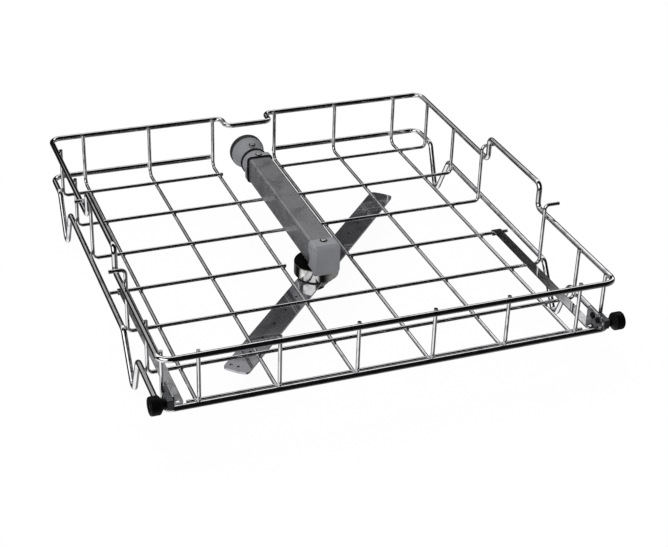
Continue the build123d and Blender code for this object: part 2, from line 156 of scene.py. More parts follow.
@dataclass(frozen=True)
class Finish:
    """A finish with one base colour; its pattern is drawn by the kinds below."""

    name: str
    colour: str
    roughness: float
    metallic: float = 0.0
    specular: float = 0.5

    def material(self) -> bpy.types.Material:
        """Make the Blender material.

        Returns:
            The material, with its pattern linked to its shader.
        """
        made = bpy.data.materials.new(self.name)
        made.use_nodes = True
        tree = made.node_tree
        shader = tree.nodes["Principled BSDF"]
        shader.inputs["Base Color"].default_value = linear(self.colour)
        shader.inputs["Roughness"].default_value = self.roughness
        shader.inputs["Metallic"].default_value = self.metallic
        shader.inputs["Specular IOR Level"].default_value = self.specular
        self.pattern(tree, shader)
        return made

    def pattern(self, tree: bpy.types.NodeTree, shader: bpy.types.Node) -> None:
        """Draw the finish's pattern; a plain finish has none."""


@dataclass(frozen=True)
class PolishedSteel(Finish):
    """Bright stainless steel with the slight waves and handling marks of bent and welded wire."""

    tint: str = "#8f9093"
    wave_mm: float = 9.0
    wave_height_mm: float = 0.05
    wave_detail: float = 1.0
    mark_mm: float = 14.0
    mark_roughness: float = 0.12
    mark_detail: float = 5.0
    mark_range: Span = (0.5, 0.72)

    def pattern(self, tree: bpy.types.NodeTree, shader: bpy.types.Node) -> None:
        """Draw dulled patches and a low wave.

        Args:
            tree: the material's node tree.
            shader: its Principled BSDF.
        """
        place = add(tree, "ShaderNodeTexCoord").outputs["Object"]
        marks = add(tree, "ShaderNodeTexNoise", {
            "Vector": place, "Scale": per_mm(self.mark_mm), "Detail": self.mark_detail,
        })
        dull = add(tree, "ShaderNodeMapRange", {
            "Value": marks.outputs["Fac"],
            "From Min": self.mark_range[0], "From Max": self.mark_range[1],
        }, interpolation_type="SMOOTHSTEP").outputs["Result"]
        colour = add(tree, "ShaderNodeMix", {
            MIX_SHARE: dull,
            MIX_FROM_COLOUR: linear(self.colour), MIX_TO_COLOUR: linear(self.tint),
        }, data_type="RGBA")
        rough = add(tree, "ShaderNodeMapRange", {
            "Value": dull,
            "To Min": self.roughness, "To Max": self.roughness + self.mark_roughness,
        })
        wave = add(tree, "ShaderNodeTexNoise", {
            "Vector": place, "Scale": per_mm(self.wave_mm), "Detail": self.wave_detail,
        })
        bump = add(tree, "ShaderNodeBump", {
            "Height": wave.outputs["Fac"], "Strength": 1.0, "Distance": self.wave_height_mm * MM,
        })
        feed(shader, colour, rough, bump)


@dataclass(frozen=True)
class WeldedSteel(PolishedSteel):
    """Polished steel with a painted shade at its top: a black, rough band that stands for the
    shade under the part above it.
    """

    burnt: str = "#0b0a0a"
    burnt_roughness: float = 0.65
    clean_z_mm: float = 41.0
    burnt_z_mm: float = 43.5

    def pattern(self, tree: bpy.types.NodeTree, shader: bpy.types.Node) -> None:
        """Draw the polish, and the band of painted shade over it.

        Args:
            tree: the material's node tree.
            shader: its Principled BSDF.
        """
        super().pattern(tree, shader)
        place = add(tree, "ShaderNodeTexCoord").outputs["Object"]
        # Painted shade: this share rises from 0 to 1 towards the top of the piece, where it
        # darkens the colour and dulls the steel.
        height = add(tree, "ShaderNodeSeparateXYZ", {0: place}).outputs["Z"]
        scale = add(tree, "ShaderNodeMapRange", {
            "Value": height,
            "From Min": self.clean_z_mm * MM, "From Max": self.burnt_z_mm * MM,
        }, interpolation_type="SMOOTHSTEP").outputs["Result"]
        polish = shader.inputs["Base Color"].links[0].from_socket
        smooth = shader.inputs["Roughness"].links[0].from_socket
        colour = add(tree, "ShaderNodeMix", {
            MIX_SHARE: scale, MIX_FROM_COLOUR: polish, MIX_TO_COLOUR: linear(self.burnt),
        }, data_type="RGBA")
        rough = add(tree, "ShaderNodeMix", {
            MIX_SHARE: scale, MIX_FROM: smooth, MIX_TO: self.burnt_roughness,
        })
        tree.links.new(colour.outputs[MIXED_COLOUR], shader.inputs["Base Color"])
        tree.links.new(rough.outputs[MIXED], shader.inputs["Roughness"])


@dataclass(frozen=True)
class BrushedSteel(Finish):
    """Sheet steel ground in one direction, with stains from water and hands.

    Real grinding lines are finer than 0.1 mm. They are drawn wider here, so that they show.
    """

    tint: str = "#77787b"
    stain: str = "#5d5e61"
    line_mm: float = 0.5
    line_length_mm: float = 30.0
    line_height_mm: float = 0.01
    line_roughness: float = 0.09
    line_detail: float = 3.0
    line_strength: float = 0.6
    along: Axis = Axis.Y
    turn_deg: float = 0.0
    stain_mm: float = 26.0
    stain_share: float = 0.6
    stain_detail: float = 6.0
    stain_swirl: float = 0.6
    stain_range: Span = (0.46, 0.7)

    def pattern(self, tree: bpy.types.NodeTree, shader: bpy.types.Node) -> None:
        """Draw the grinding lines and the stains.

        Args:
            tree: the material's node tree.
            shader: its Principled BSDF.
        """
        place = add(tree, "ShaderNodeTexCoord").outputs["Object"]
        stretch = [per_mm(self.line_mm)] * 3
        stretch[self.along.value] = per_mm(self.line_length_mm)
        turned = add(tree, "ShaderNodeMapping", {
            "Vector": place, "Rotation": (0.0, 0.0, -math.radians(self.turn_deg)),
        })
        drawn = add(tree, "ShaderNodeMapping", {
            "Vector": turned.outputs["Vector"], "Scale": stretch,
        })
        lines = add(tree, "ShaderNodeTexNoise", {
            "Vector": drawn.outputs["Vector"], "Scale": 1.0, "Detail": self.line_detail,
        }).outputs["Fac"]
        blots = add(tree, "ShaderNodeTexNoise", {
            "Vector": place, "Scale": per_mm(self.stain_mm),
            "Detail": self.stain_detail, "Distortion": self.stain_swirl,
        })
        stained = add(tree, "ShaderNodeMapRange", {
            "Value": blots.outputs["Fac"],
            "From Min": self.stain_range[0], "From Max": self.stain_range[1],
            "To Max": self.stain_share,
        }, interpolation_type="SMOOTHSTEP").outputs["Result"]
        ground = add(tree, "ShaderNodeMix", {
            MIX_SHARE: lines,
            MIX_FROM_COLOUR: linear(self.tint), MIX_TO_COLOUR: linear(self.colour),
        }, data_type="RGBA")
        colour = add(tree, "ShaderNodeMix", {
            MIX_SHARE: stained,
            MIX_FROM_COLOUR: ground.outputs[MIXED_COLOUR], MIX_TO_COLOUR: linear(self.stain),
        }, data_type="RGBA")
        rough = add(tree, "ShaderNodeMapRange", {
            "Value": lines,
            "To Min": self.roughness - self.line_roughness,
            "To Max": self.roughness + self.line_roughness,
        })
        bump = add(tree, "ShaderNodeBump", {
            "Height": lines, "Strength": self.line_strength, "Distance": self.line_height_mm * MM,
        })
        feed(shader, colour, rough, bump)


@dataclass(frozen=True)
class MouldedPlastic(Finish):
    """Moulded plastic or rubber: a spark-eroded grain and faint flow marks.

    The real grain is about 0.1 mm wide. It is drawn coarser here, so that it shows.
    """

    tint: str = "#606166"
    grain_mm: float = 0.7
    grain_height_mm: float = 0.02
    grain_roughness: Span = (-0.06, 0.08)
    grain_detail: float = 2.0
    grain_strength: float = 0.5
    flow_mm: float = 18.0
    flow_detail: float = 4.0

    def pattern(self, tree: bpy.types.NodeTree, shader: bpy.types.Node) -> None:
        """Draw the grain and the flow marks.

        Args:
            tree: the material's node tree.
            shader: its Principled BSDF.
        """
        place = add(tree, "ShaderNodeTexCoord").outputs["Object"]
        flow = add(tree, "ShaderNodeTexNoise", {
            "Vector": place, "Scale": per_mm(self.flow_mm), "Detail": self.flow_detail,
        })
        colour = add(tree, "ShaderNodeMix", {
            MIX_SHARE: flow.outputs["Fac"],
            MIX_FROM_COLOUR: linear(self.tint), MIX_TO_COLOUR: linear(self.colour),
        }, data_type="RGBA")
        grain = add(tree, "ShaderNodeTexNoise", {
            "Vector": place, "Scale": per_mm(self.grain_mm), "Detail": self.grain_detail,
        }).outputs["Fac"]
        rough = add(tree, "ShaderNodeMapRange", {
            "Value": grain,
            "To Min": self.roughness + self.grain_roughness[0],
            "To Max": self.roughness + self.grain_roughness[1],
        })
        bump = add(tree, "ShaderNodeBump", {
            "Height": grain, "Strength": self.grain_strength,
            "Distance": self.grain_height_mm * MM,
        })
        feed(shader, colour, rough, bump)


# Drawn stainless wire, electropolished: a mirror that shows the studio in bands along the wire.
WIRE = PolishedSteel(
    "electropolished_stainless_wire", "#e2e2e4", 0.03, 1.0, tint="#b4b4b7",
    wave_height_mm=0.006, mark_roughness=0.04,
)
# The weld squeezed out at a crossing, a little duller and browner than the wire.
WELD = PolishedSteel(
    "resistance_weld_steel", "#b9b6b0", 0.22, 1.0, tint="#6f6862",
    wave_mm=1.6, wave_height_mm=0.12, mark_mm=3.0,
)
# Turned and polished stainless parts of the bearing, and the axles: bright, with faint marks.
TURNED = PolishedSteel(
    "polished_turned_steel", "#dcdbd8", 0.06, 1.0,
    wave_mm=20.0, wave_height_mm=0.02, mark_roughness=0.06,
)
# The same on the bearing's drum, whose top is painted black as shade where the tube sits on it.
DRUM = WeldedSteel(
    "polished_welded_drum", "#e4e3df", 0.06, 1.0,
    wave_mm=20.0, wave_height_mm=0.02, mark_roughness=0.06,
)
# Nickel-plated screws, bright and a little milky.
PLATED = PolishedSteel(
    "nickel_plated_screw", "#cfcfcd", 0.28, 0.78, tint="#a8a8a6",
    wave_mm=3.0, wave_height_mm=0.02,
)
# Bolts blackened by oxide, with a deeper black where the scale is thick.
BLACKENED = PolishedSteel(
    "black_oxide_bolt", "#2b2b2d", 0.24, 1.0, tint="#131314",
    wave_mm=3.0, wave_height_mm=0.02, mark_mm=3.0,
)
# Drawn square tube, ground along its length and marked by hands and water.
TUBE = BrushedSteel(
    "ground_stainless_tube", "#a8a8ab", 0.26, 0.75, tint="#98989b", stain="#6f6f73",
    line_roughness=0.03, line_height_mm=0.004,
)
# Rolled arm sheets, ground along the arm, nearly a mirror, with water marks.
ARM = BrushedSteel(
    "ground_stainless_arm", "#d0d0d5", 0.06, 0.88, tint="#98989d", stain="#7c7c81",
    along=Axis.X, turn_deg=47.9, line_length_mm=45.0, line_mm=0.9,
    line_roughness=0.03, line_height_mm=0.002,
)
# Mill-finish strip, nearly a mirror, mottled by pickling.
STRIP = BrushedSteel(
    "pickled_strip_steel", "#d2d2d4", 0.07, 0.96, tint="#acacae", stain="#67676b",
    line_mm=0.8, line_length_mm=12.0, stain_mm=11.0, stain_share=0.75,
    line_roughness=0.03, line_height_mm=0.003,
)
# Cast and blasted block: dull, with an even grain in place of lines.
BLOCK = BrushedSteel(
    "blasted_cast_steel", "#6d6e72", 0.42, 1.0, tint="#54555a", stain="#3c3d40",
    line_mm=1.0, line_length_mm=1.0, stain_mm=8.0,
)
# Glass-filled polypropylene of the funnel and the cap, satin grey.
POLYPROPYLENE = MouldedPlastic("moulded_grey_polypropylene", "#8e8f93", 0.4, tint="#7e7f83")
# Black polyamide of the rollers, with little gloss.
POLYAMIDE = MouldedPlastic(
    "moulded_black_polyamide", "#030303", 0.5, specular=0.15, tint="#020202", grain_mm=0.9,
)
# Soft sealing rubber, matt.
RUBBER = MouldedPlastic("sealing_rubber", "#232427", 0.62, tint="#1b1c1e", grain_mm=0.5)
# Black rubber of the lip, the groove ring and the washers under the screws, which paint shade:
# dark pieces set at the sleeve's front edge, in the groove and round the screw heads, where these
# are in shade.
SEAL = MouldedPlastic(
    "black_sealing_rubber", "#0a0a0b", 0.6, specular=0.2, tint="#060607", grain_mm=0.5,
)
# White acetal of the arm's bushes, with a slight sheen.
ACETAL = MouldedPlastic("turned_white_acetal", "#d9d9d4", 0.36, tint="#cbcbc6", grain_mm=0.4)


@dataclass
class Paint:
    """The materials that are in use, each made once."""

    made: dict[str, bpy.types.Material] = field(default_factory=dict)

    def of(self, finish: Finish) -> bpy.types.Material:
        """Get the material of a finish, which is made when it is first asked for.

        Args:
            finish: the finish.

        Returns:
            Its material.
        """
        if finish.name not in self.made:
            self.made[finish.name] = finish.material()
        return self.made[finish.name]

    def coat(self, piece: bpy.types.Object, finish: Finish) -> None:
        """Give a whole piece one finish.

        Args:
            piece: a CAD node's object or a new piece.
            finish: what it is finished in.
        """
        material = self.of(finish)
        if piece.material_slots:
            for held in piece.material_slots:
                held.material = material
        else:
            piece.data.materials.append(material)
        LOG.info("%s is finished in %s", piece.name, finish.name)

    def coat_nodes(self, names: Iterable[str], finish: Finish) -> None:
        """Give several CAD nodes one finish.

        Args:
            names: the nodes' names.
            finish: what they are finished in.
        """
        for name in names:
            self.coat(frame["nodes"][name], finish)


def deselect() -> None:
    """Leave edit mode and select nothing."""
    if bpy.context.mode != "OBJECT":
        bpy.ops.object.mode_set(mode="OBJECT")
    bpy.ops.object.select_all(action="DESELECT")


def choose_faces(
    piece: bpy.types.Object, test: Callable[[bpy.types.MeshPolygon], bool],
) -> None:
    """Go into edit mode with the faces selected that pass a test.

    Args:
        piece: the active object.
        test: says which faces to select.
    """
    if bpy.context.mode != "OBJECT":
        bpy.ops.object.mode_set(mode="OBJECT")
    bpy.context.tool_settings.mesh_select_mode = (False, False, True)
    for part in (piece.data.vertices, piece.data.edges):
        part.foreach_set("select", [False] * len(part))
    for face in piece.data.polygons:
        face.select = test(face)
    bpy.ops.object.mode_set(mode="EDIT")


def settle(piece: bpy.types.Object, name: str) -> bpy.types.Object:
    """Apply a new piece's place, so that its object sits at the origin.

    Args:
        piece: the object, placed and turned.
        name: its name from now on.

    Returns:
        The same object.
    """
    deselect()
    piece.select_set(True)
    bpy.context.view_layer.objects.active = piece
    bpy.ops.object.transform_apply(location=True, rotation=True, scale=True)
    piece.name = name
    piece.data.name = name
    return piece


def copy_at(pattern: bpy.types.Object, place: Matrix) -> bpy.types.Object:
    """Copy a piece with its own mesh and move the copy by a matrix.

    Args:
        pattern: the piece to copy, settled at the origin.
        place: where the copy goes.

    Returns:
        The copy.
    """
    twin = pattern.copy()
    twin.data = pattern.data.copy()
    bpy.context.scene.collection.objects.link(twin)
    twin.matrix_world = place
    return twin


def spread(pattern: bpy.types.Object, places: list[Matrix], name: str) -> bpy.types.Object:
    """Copy a model to its places and join the copies into one settled piece.

    Args:
        pattern: the model at the origin, which is used up.
        places: where its copies go.
        name: the joined piece's name.

    Returns:
        The joined piece.
    """
    copies = [copy_at(pattern, place) for place in places]
    bpy.data.objects.remove(pattern)
    deselect()
    for piece in copies:
        piece.select_set(True)
    bpy.context.view_layer.objects.active = copies[0]
    if len(copies) > 1:
        bpy.ops.object.join()
    return settle(copies[0], name)


def middle(node: str) -> Vector:
    """The middle of a CAD node's box."""
    low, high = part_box(node)
    return (low + high) / 2


def solids_along(node: str, axis: Axis, gap_mm: float = 1.0) -> list[tuple[Vector, Vector]]:
    """Find the boxes of the separate solids in one node, in order along an axis.

    Args:
        node: the CAD node.
        axis: the axis that they follow each other along.
        gap_mm: the least gap between two of them.

    Returns:
        Lowest and highest corner of each solid.
    """
    points = sorted(
        (v.co.copy() for v in frame["nodes"][node].data.vertices),
        key=lambda point: point[axis.value],
    )
    groups = [[points[0]]]
    for point in points[1:]:
        if point[axis.value] - groups[-1][-1][axis.value] > gap_mm * MM:
            groups.append([])
        groups[-1].append(point)
    return [
        (Vector([min(p[i] for p in group) for i in range(3)]),
         Vector([max(p[i] for p in group) for i in range(3)]))
        for group in groups
    ]


@dataclass
class ScrewForm:
    """A headed screw with a driver recess, made upright with its head's seat at the origin."""

    head_mm: float
    height_mm: float
    shank_mm: float
    length_mm: float
    recess: Recess
    dome_mm: float = 0.7
    dome_steps: int = 5
    recess_width_mm: float = 0.9
    recess_depth_mm: float = 0.8
    recess_taper: Triple = (0.75, 0.7, 1.0)
    slot_reach: float = 1.3
    cross_reach: float = 0.62
    segments: int = 40
    smooth_deg: float = 35.0

    def cutter(self, turn: float) -> bpy.types.Object:
        """Model a bar with tapered ends that cuts one slot.

        Args:
            turn: the slot's direction about the screw's axis.

        Returns:
            The cutting bar.
        """
        deselect()
        reach = self.slot_reach if self.recess is Recess.SLOT else self.cross_reach
        bpy.ops.mesh.primitive_cube_add(size=1.0)
        bar = bpy.context.active_object
        bpy.ops.object.mode_set(mode="EDIT")
        bpy.ops.transform.resize(value=(
            self.head_mm * reach * MM, self.recess_width_mm * MM, 2 * self.recess_depth_mm * MM,
        ))
        choose_faces(bar, lambda face: face.normal.z < -FACING)
        bpy.ops.transform.resize(value=self.recess_taper)
        bar.rotation_euler = (0.0, 0.0, turn)
        bar.location = (0.0, 0.0, self.height_mm * MM)
        return settle(bar, "cutter")

    def make(self) -> bpy.types.Object:
        """Model the screw.

        Returns:
            The screw, upright at the origin.
        """
        deselect()
        bpy.ops.mesh.primitive_cylinder_add(
            vertices=self.segments, radius=self.head_mm / 2 * MM, depth=self.height_mm * MM,
            location=(0.0, 0.0, self.height_mm / 2 * MM),
        )
        screw = settle(bpy.context.active_object, "screw")
        choose_faces(screw, lambda face: face.normal.z > FACING)
        bpy.ops.mesh.bevel(
            offset=self.dome_mm * MM, segments=self.dome_steps, profile=0.5, affect="EDGES",
        )
        choose_faces(screw, lambda face: face.normal.z < -FACING)
        bpy.ops.mesh.inset(thickness=(self.head_mm - self.shank_mm) / 2 * MM)
        bpy.ops.mesh.extrude_region_move(
            TRANSFORM_OT_translate={"value": (0.0, 0.0, -self.length_mm * MM)},
        )
        bpy.ops.object.mode_set(mode="OBJECT")
        for turn in (0.0,) if self.recess is Recess.SLOT else (0.0, QUARTER_TURN):
            bar = self.cutter(turn)
            bpy.context.view_layer.objects.active = screw
            cut = screw.modifiers.new("recess", "BOOLEAN")
            cut.operation, cut.object, cut.solver = "DIFFERENCE", bar, "EXACT"
            bpy.ops.object.modifier_apply(modifier=cut.name)
            bpy.data.objects.remove(bar)
        deselect()
        screw.select_set(True)
        bpy.context.view_layer.objects.active = screw
        bpy.ops.object.shade_smooth_by_angle(angle=math.radians(self.smooth_deg))
        return screw


@dataclass
class SealForm:
    """A rubber ring with rounded edges, made lying flat with its lower face at the origin."""

    size_mm: Span
    corner_mm: float
    wall_mm: float
    width_mm: float
    edge_mm: float = 0.4
    edge_steps: int = 3
    corner_steps: int = 12
    smooth_deg: float = 40.0

    def make(self) -> bpy.types.Object:
        """Model the ring.

        Returns:
            The ring about the Z axis.
        """
        deselect()
        bpy.ops.mesh.primitive_plane_add(size=1.0)
        ring = bpy.context.active_object
        bpy.ops.object.mode_set(mode="EDIT")
        bpy.ops.transform.resize(value=(self.size_mm[0] * MM, self.size_mm[1] * MM, 1.0))
        bpy.ops.mesh.bevel(
            offset=self.corner_mm * MM, segments=self.corner_steps, affect="VERTICES",
        )
        bpy.ops.mesh.select_all(action="SELECT")
        bpy.ops.mesh.extrude_region_move(
            TRANSFORM_OT_translate={"value": (0.0, 0.0, self.width_mm * MM)},
        )
        choose_faces(ring, lambda face: abs(face.normal.z) > FACING)
        bpy.ops.mesh.delete(type="ONLY_FACE")
        bpy.ops.mesh.select_all(action="SELECT")
        bpy.ops.mesh.normals_make_consistent(inside=False)
        bpy.ops.object.mode_set(mode="OBJECT")
        wall = ring.modifiers.new("wall", "SOLIDIFY")
        wall.thickness, wall.offset, wall.use_even_offset = self.wall_mm * MM, -1.0, True
        bpy.ops.object.modifier_apply(modifier=wall.name)
        edge = ring.modifiers.new("edge", "BEVEL")
        edge.width, edge.segments, edge.limit_method = self.edge_mm * MM, self.edge_steps, "ANGLE"
        bpy.ops.object.modifier_apply(modifier=edge.name)
        bpy.ops.object.shade_smooth_by_angle(angle=math.radians(self.smooth_deg))
        return settle(ring, "ring")


@dataclass
class WireWork:
    """Rim, base frame, floor wires and posts, with the welds where they meet."""

    bead_mm: Triple = (2.7, 2.7, 1.1)
    bead_segments: int = 10
    bead_rings: int = 6
    ripple_mm: float = 0.12
    ripple_evenness: float = 0.6
    ripple_seed: int = 4
    rod_r_mm: float = 3.0
    foot_mm: float = 30.0
    above_m: float = 1.0

    def named(self, start: str) -> list[str]:
        """The CAD nodes whose names start so."""
        return [name for name in frame["nodes"] if name.startswith(start)]

    def wires(self) -> list[str]:
        """The names of all wires."""
        wires = [name for name in frame["nodes"] if "wire" in name]
        return wires + ["base_frame"] + self.named("corner_post")

    def bead(self) -> bpy.types.Object:
        """Model one flattened, rippled weld bead.

        Returns:
            The bead at the origin.
        """
        deselect()
        bpy.ops.mesh.primitive_uv_sphere_add(
            segments=self.bead_segments, ring_count=self.bead_rings, radius=1.0,
        )
        drop = bpy.context.active_object
        bpy.ops.object.mode_set(mode="EDIT")
        bpy.ops.transform.resize(value=[size * MM for size in self.bead_mm])
        bpy.ops.transform.vertex_random(
            offset=self.ripple_mm * MM, uniform=self.ripple_evenness, seed=self.ripple_seed,
        )
        bpy.ops.object.mode_set(mode="OBJECT")
        bpy.ops.object.shade_smooth()
        return settle(drop, "bead")

    def crossings(self) -> list[Matrix]:
        """Find where floor wires cross, from the nodes' boxes.

        Returns:
            The place of each crossing.
        """
        places = []
        for length in self.named("length_wire"):
            x = middle(length).x
            for cross in self.named("cross_wire"):
                low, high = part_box(cross)
                if low.x < x < high.x:
                    places.append(Matrix.Translation((x, middle(cross).y, low.z)))
        return places

    def rod_level(self, rod: str, x: float, y: float) -> float | None:
        """Find the height of a rod's middle line over a place.

        Args:
            rod: the rim or the base frame.
            x: the place across the basket.
            y: the place along the basket.

        Returns:
            The height, or None where the rod doesn't pass or dips to a foot.
        """
        hit, place, _, _ = frame["nodes"][rod].ray_cast(
            Vector((x, y, self.above_m)), Vector((0.0, 0.0, -1.0)),
        )
        level = place.z - self.rod_r_mm * MM
        return level if hit and level > self.foot_mm * MM else None

    def rod_contacts(self) -> list[Matrix]:
        """Find where uprights touch the rim and the base frame.

        Returns:
            The place of each contact, turned so that a bead lies between the two.
        """
        side_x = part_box("cross_wire_2")[1].x
        rows = [f"cross_wire_{number}" for number in (2, 3, 5, 6)]
        rows += ["cross_wire_1_left", "corner_post_left"]
        sides = [(sign * side_x, middle(row).y) for row in rows for sign in (-1, 1)]
        end_ys = [corner.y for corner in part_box("length_wire_1")]
        ends = [(middle(wire).x, y) for wire in self.named("length_wire") for y in end_ys]
        reach = self.rod_r_mm * MM
        places = []
        for rod in ("rim_wire", "base_frame"):
            for x, y in sides:
                level = self.rod_level(rod, x + math.copysign(reach, x), y)
                if level:
                    turn = Matrix.Rotation(QUARTER_TURN, 4, "Y")
                    places.append(Matrix.Translation((x, y, level)) @ turn)
            for x, y in ends:
                level = self.rod_level(rod, x, y + math.copysign(reach, y))
                if level:
                    turn = Matrix.Rotation(QUARTER_TURN, 4, "X")
                    places.append(Matrix.Translation((x, y, level)) @ turn)
        return places

    def welds(self, name: str, places: list[Matrix], paint: Paint) -> None:
        """Add one set of weld beads.

        Args:
            name: the name of the set.
            places: where its beads go.
            paint: the materials in use.
        """
        welds = spread(self.bead(), places, name)
        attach(welds, "basket")
        paint.coat(welds, WELD)
        LOG.info("%s has %d beads", name, len(places))

    def build(self, paint: Paint) -> None:
        """Finish the wires and add the welds.

        Args:
            paint: the materials in use.
        """
        paint.coat_nodes(self.wires(), WIRE)
        self.welds("floor_welds", self.crossings(), paint)
        self.welds("rod_welds", self.rod_contacts(), paint)


@dataclass
class RollerSet:
    """Side strips with their axle blocks, bolts and rollers."""

    bolt: ScrewForm = field(default_factory=lambda: ScrewForm(
        7.0, 1.6, 4.0, 4.0, Recess.SLOT, dome_mm=0.9, recess_width_mm=1.1,
    ))
    first_turn: float = 0.5
    next_turn: float = 0.9

    def bolts(self, side: str, paint: Paint) -> None:
        """Replace the plain bolts on one side by slotted ones.

        Args:
            side: left or right.
            paint: the materials in use.
        """
        node = f"block_bolts_{side}"
        inward = -1.0 if side == "right" else 1.0
        head = self.bolt.height_mm * MM
        places = []
        for number, (low, high) in enumerate(solids_along(node, Axis.Y)):
            seat = (low + high) / 2
            seat.x = low.x + head if side == "right" else high.x - head
            slot = Matrix.Rotation(self.first_turn + self.next_turn * number, 4, "Z")
            tilt = Matrix.Rotation(inward * QUARTER_TURN, 4, "Y") @ slot
            places.append(Matrix.Translation(seat) @ tilt)
        bolts = spread(self.bolt.make(), places, f"slotted_bolts_{side}")
        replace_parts(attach(bolts, "basket"), node)
        paint.coat(bolts, BLACKENED)

    def build(self, paint: Paint) -> None:
        """Finish the strips, blocks and rollers and add the bolts.

        Args:
            paint: the materials in use.
        """
        for side in SIDES:
            paint.coat_nodes([f"side_strip_{side}"], STRIP)
            paint.coat_nodes([f"axle_block_{side}"], BLOCK)
            paint.coat_nodes([f"roller_axle_{side}"], TURNED)
            paint.coat_nodes([f"roller_{side}"], POLYAMIDE)
            self.bolts(side, paint)


@dataclass
class FeedTube:
    """The feed tube with its inlet funnel, end cap, gaskets and screws, and black rings of
    painted shade.
    """

    screw: ScrewForm = field(
        default_factory=lambda: ScrewForm(5.6, 1.5, 3.0, 5.5, Recess.CROSS),
    )
    lip: SealForm = field(default_factory=lambda: SealForm((32.1, 34.1), 5.0, 1.95, 1.5))
    groove_ring: SealForm = field(
        default_factory=lambda: SealForm((34.8, 34.8), 17.39, 3.7, 2.8, edge_mm=1.0),
    )
    washer: SealForm = field(
        default_factory=lambda: SealForm((8.0, 8.0), 3.99, 1.3, 0.6, edge_mm=0.2),
    )
    groove_place_mm: float = 19.5
    first_turn: float = 0.3
    next_turn: float = 1.0

    def seats(self) -> list[Matrix]:
        """Find where the heads of the screws sit.

        Returns:
            The place of each screw's seat.
        """
        places = []
        for low, high in solids_along("tube_screws", Axis.Y):
            seat = (low + high) / 2
            seat.z = high.z - self.screw.height_mm * MM
            places.append(Matrix.Translation(seat))
        return places

    def screws(self, paint: Paint) -> None:
        """Replace the plain screws by cross-recessed ones.

        Args:
            paint: the materials in use.
        """
        places = [
            seat @ Matrix.Rotation(self.first_turn + self.next_turn * number, 4, "Z")
            for number, seat in enumerate(self.seats())
        ]
        screws = spread(self.screw.make(), places, "cross_head_screws")
        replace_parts(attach(screws, "basket"), "tube_screws")
        paint.coat(screws, PLATED)

    def seals(self, paint: Paint) -> None:
        """Add black rubber pieces that paint shade: the lip before the sleeve, the ring in its
        groove and the screws' washers.

        Args:
            paint: the materials in use.
        """
        axis = middle("feed_tube")
        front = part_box("inlet_funnel")[0].y
        lip_y = front - self.lip.width_mm * MM
        ring_y = front + (self.groove_place_mm - self.groove_ring.width_mm / 2) * MM
        lengthwise = Matrix.Rotation(-QUARTER_TURN, 4, "X")
        lip, ring = (
            Matrix.Translation((axis.x, y, axis.z)) @ lengthwise for y in (lip_y, ring_y)
        )
        for form, places, name in (
            (self.lip, [lip], "sleeve_lip"),
            (self.groove_ring, [ring], "groove_ring"),
            (self.washer, self.seats(), "screw_washers"),
        ):
            seal = spread(form.make(), places, name)
            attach(seal, "basket")
            paint.coat(seal, SEAL)

    def build(self, paint: Paint) -> None:
        """Finish the tube's pieces and add the screws and the black rings of painted shade.

        Args:
            paint: the materials in use.
        """
        paint.coat_nodes(["feed_tube"], TUBE)
        paint.coat_nodes(["inlet_funnel", "end_cap"], POLYPROPYLENE)
        paint.coat_nodes(["inlet_seal", "inlet_gasket", "cap_gasket"], RUBBER)
        self.screws(paint)
        self.seals(paint)


@dataclass
class SprayArm:
    """The bearing and the turning arm, which are all CAD nodes."""

    def build(self, paint: Paint) -> None:
        """Finish the bearing and the arm.

        Args:
            paint: the materials in use.
        """
        paint.coat_nodes(["bearing_housing"], DRUM)
        paint.coat_nodes(["bearing_spindle", "thrust_washer", "retaining_nut"], TURNED)
        paint.coat_nodes(["arm_plate", "arm_trough"], ARM)
        paint.coat_nodes(["upper_arm_bush", "lower_arm_bush"], ACETAL)


@dataclass(frozen=True)
class Card:
    """A lit part of the studio: the directions past an edge across one way, softly bounded.

    A limit is a second card, and the first is lit only within it.
    """

    way: Triple
    edge: float
    soft: float
    strength: float = 1.0
    limit: "Card | None" = None

    def share(
        self, tree: bpy.types.NodeTree, direction: bpy.types.NodeSocket,
    ) -> bpy.types.NodeSocket:
        """Add the nodes that tell how far a direction is inside the card.

        Args:
            tree: the world's node tree.
            direction: the direction that is looked in.

        Returns:
            A socket that goes from 0 outside the card to 1 inside it.
        """
        facing = add(tree, "ShaderNodeVectorMath", {
            0: direction, 1: self.way,
        }, operation="DOT_PRODUCT")
        inside = add(tree, "ShaderNodeMapRange", {
            "Value": facing.outputs["Value"],
            "From Min": self.edge - self.soft, "From Max": self.edge + self.soft,
        }, interpolation_type="SMOOTHSTEP").outputs["Result"]
        if self.limit is None:
            return inside
        return add(tree, "ShaderNodeMath", {
            0: inside, 1: self.limit.share(tree, direction),
        }, operation="MULTIPLY").outputs["Value"]


